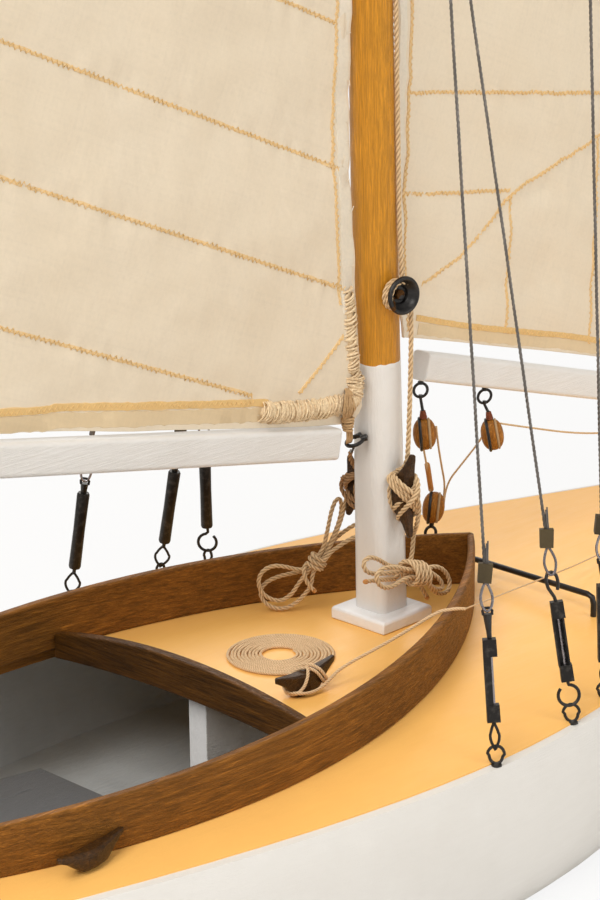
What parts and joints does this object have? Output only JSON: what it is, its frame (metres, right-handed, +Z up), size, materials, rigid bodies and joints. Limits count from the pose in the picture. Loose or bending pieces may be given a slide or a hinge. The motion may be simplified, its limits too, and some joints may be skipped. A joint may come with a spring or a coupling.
{
  "type": "model daysailer",
  "caption": "wooden scale model of a keeled daysailer sloop with cotton main, boomed self-tending jib, leaf-shaped open cockpit and working rudder",
  "frame": {"origin": "on the waterline, below the centre of the mast's foot", "axes": "+X forward to the bow, +Y to port, +Z up"},
  "size_m": [0.556, 0.1827, 0.923],
  "materials": {
    "hull_paint": "satin white paint",
    "deck_paint": "satin ochre paint",
    "varnished_wood": "dark varnish",
    "floor_paint": "matt dark grey paint",
    "ballast_metal": "painted",
    "mast_wood": "varnish",
    "spar_paint": "white paint",
    "black_metal": "black",
    "fitting_metal": "dull grey",
    "wire": "dark wire",
    "sailcloth": "cream cotton",
    "cordage": "tan cord"
  },
  "bodies": {
    "boat": {"hull": "hull_paint", "deck": "deck_paint", "coaming_port": "varnished_wood", "coaming_starboard": "varnished_wood", "coaming_end_board": "varnished_wood", "cross_rail": "varnished_wood", "centre_web": "hull_paint", "floorboards": "floor_paint", "keel": "hull_paint", "ballast_keel": "ballast_metal", "mast": "mast_wood", "mast_foot": "spar_paint", "mast_base_plate": "spar_paint", "halyard_fairlead": "black_metal", "mast_cleat_port": "varnished_wood", "mast_cleat_starboard": "varnished_wood", "deck_cleat": "varnished_wood", "coaming_cleat_port": "varnished_wood", "coaming_cleat_starboard": "varnished_wood", "gooseneck_eye": "black_metal", "forestay": "wire", "bow_fitting": "black_metal", "traveller": "black_metal", "traveller_block": "varnished_wood", "spreader_port": "mast_wood", "spreader_starboard": "mast_wood", "deck_coil": "cordage", "mast_foot_hank": "cordage", "port_halyard_hank": "cordage", "turnbuckle_aft_port": "fitting_metal", "shroud_aft_port": "wire", "turnbuckle_aft_starboard": "fitting_metal", "shroud_aft_starboard": "wire", "turnbuckle_lower_port": "fitting_metal", "shroud_lower_port": "wire", "turnbuckle_lower_starboard": "fitting_metal", "shroud_lower_starboard": "wire", "turnbuckle_cap_port": "fitting_metal", "shroud_cap_port": "wire", "turnbuckle_cap_starboard": "fitting_metal", "shroud_cap_starboard": "wire"},
    "main": {"main_boom": "spar_paint", "mainsail": "sailcloth"},
    "jib_gear": {"jib_boom": "spar_paint", "jib": "sailcloth", "jib_block_aft": "varnished_wood", "jib_block_forward": "varnished_wood"},
    "steering": {"rudder": "hull_paint", "tiller": "varnished_wood"}
  },
  "joints": [
    {"name": "main_boom_swing", "type": "hinge", "parent": "boat", "child": "main", "pos_m": [-0.0108, 0, 0.118], "axis": [-0.0216, 0, 0.9998], "range_deg": [-35, 35]},
    {"name": "jib_boom_swing", "type": "hinge", "parent": "boat", "child": "jib_gear", "pos_m": [0.239, 0, 0.0641], "axis": [-0.4087, 0, 0.9127], "range_deg": [-35, 35]},
    {"name": "rudder_turn", "type": "hinge", "parent": "boat", "child": "steering", "pos_m": [-0.262, 0, 0.05], "axis": [0, 0, 1], "range_deg": [-35, 35]}
  ]
}
